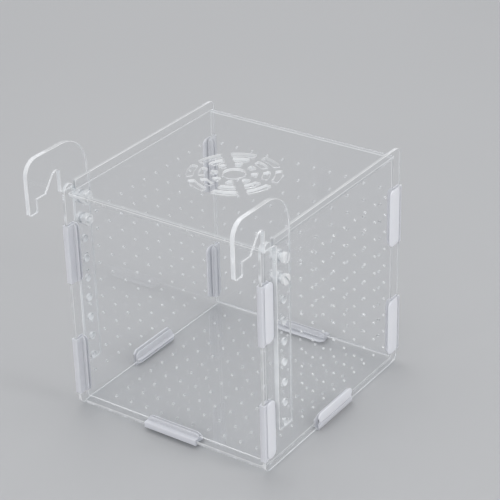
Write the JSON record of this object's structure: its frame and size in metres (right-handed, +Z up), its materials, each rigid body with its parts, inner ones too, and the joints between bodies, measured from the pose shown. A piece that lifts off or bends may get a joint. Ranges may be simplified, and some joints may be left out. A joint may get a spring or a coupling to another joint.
{
  "type": "fish breeding box",
  "caption": "Clear hang-on box that keeps fry apart inside an aquarium, with a lift-off vented lid, perforated walls, push-on clips and height-adjustable rim hooks.",
  "frame": {"origin": "on the surface that the box stands on, at the middle of the whole part's width and depth, hooks included", "axes": "+Z up, +X to the box's right side, -Y to the hooks' side, which faces the tank's glass"},
  "size_m": [0.1504, 0.1792, 0.1765],
  "materials": {
    "clear_sheet": "clear polished acrylic",
    "lid_sheet": "clear polished acrylic",
    "hook_sheet": "clear polished acrylic",
    "clip": "milky soft plastic",
    "screw": "clear moulded plastic",
    "nut": "clear moulded plastic"
  },
  "bodies": {
    "box": {"left_wall": "clear_sheet", "right_wall": "clear_sheet", "front_wall": "clear_sheet", "back_wall": "clear_sheet", "floor_sheet": "clear_sheet", "left_bottom_clip": "clip", "right_bottom_clip": "clip", "front_bottom_clip": "clip", "back_bottom_clip": "clip", "front_left_lower_clip": "clip", "front_left_upper_clip": "clip", "front_right_lower_clip": "clip", "front_right_upper_clip": "clip", "back_left_lower_clip": "clip", "back_left_upper_clip": "clip", "back_right_lower_clip": "clip", "back_right_upper_clip": "clip"},
    "lid": {"lid": "lid_sheet"},
    "left_hanger": {"left_hook": "hook_sheet"},
    "right_hanger": {"right_hook": "hook_sheet"},
    "left_lower_screw_body": {"left_lower_screw": "screw"},
    "left_lower_nut_body": {"left_lower_nut": "nut"},
    "left_upper_screw_body": {"left_upper_screw": "screw"},
    "left_upper_nut_body": {"left_upper_nut": "nut"},
    "right_lower_screw_body": {"right_lower_screw": "screw"},
    "right_lower_nut_body": {"right_lower_nut": "nut"},
    "right_upper_screw_body": {"right_upper_screw": "screw"},
    "right_upper_nut_body": {"right_upper_nut": "nut"}
  },
  "joints": [
    {"name": "lid_lift", "type": "slide", "parent": "box", "child": "lid", "axis": [0, 0, 1], "range_m": [0, 0.08]},
    {"name": "left_hook_release", "type": "slide", "parent": "box", "child": "left_hanger", "axis": [-1, 0, 0], "range_m": [0, 0.012]},
    {"name": "right_hook_release", "type": "slide", "parent": "box", "child": "right_hanger", "axis": [1, 0, 0], "range_m": [0, 0.012]},
    {"name": "left_lower_screw_turn", "type": "hinge", "parent": "left_hanger", "child": "left_lower_screw_body", "pos_m": [-0.0726, -0.0438, 0.1231], "axis": [-1, 0, 0], "range_deg": [0, 2705]},
    {"name": "left_lower_nut_travel", "type": "slide", "parent": "box", "child": "left_lower_nut_body", "axis": [1, 0, 0], "range_m": [0, 0.00525]},
    {"name": "left_upper_screw_turn", "type": "hinge", "parent": "left_hanger", "child": "left_upper_screw_body", "pos_m": [-0.0726, -0.0438, 0.1366], "axis": [-1, 0, 0], "range_deg": [0, 2705]},
    {"name": "left_upper_nut_travel", "type": "slide", "parent": "box", "child": "left_upper_nut_body", "axis": [1, 0, 0], "range_m": [0, 0.00525]},
    {"name": "right_lower_screw_turn", "type": "hinge", "parent": "right_hanger", "child": "right_lower_screw_body", "pos_m": [0.0726, -0.0438, 0.1231], "axis": [1, 0, 0], "range_deg": [0, 2705]},
    {"name": "right_lower_nut_travel", "type": "slide", "parent": "box", "child": "right_lower_nut_body", "axis": [-1, 0, 0], "range_m": [0, 0.00525]},
    {"name": "right_upper_screw_turn", "type": "hinge", "parent": "right_hanger", "child": "right_upper_screw_body", "pos_m": [0.0726, -0.0438, 0.1366], "axis": [1, 0, 0], "range_deg": [0, 2705]},
    {"name": "right_upper_nut_travel", "type": "slide", "parent": "box", "child": "right_upper_nut_body", "axis": [-1, 0, 0], "range_m": [0, 0.00525]}
  ],
  "couplings": [
    {"joint": "left_lower_screw_turn", "follows": "left_lower_nut_travel", "rad_per_m": 8976},
    {"joint": "left_upper_screw_turn", "follows": "left_upper_nut_travel", "rad_per_m": 8976},
    {"joint": "right_lower_screw_turn", "follows": "right_lower_nut_travel", "rad_per_m": 8976},
    {"joint": "right_upper_screw_turn", "follows": "right_upper_nut_travel", "rad_per_m": 8976}
  ]
}
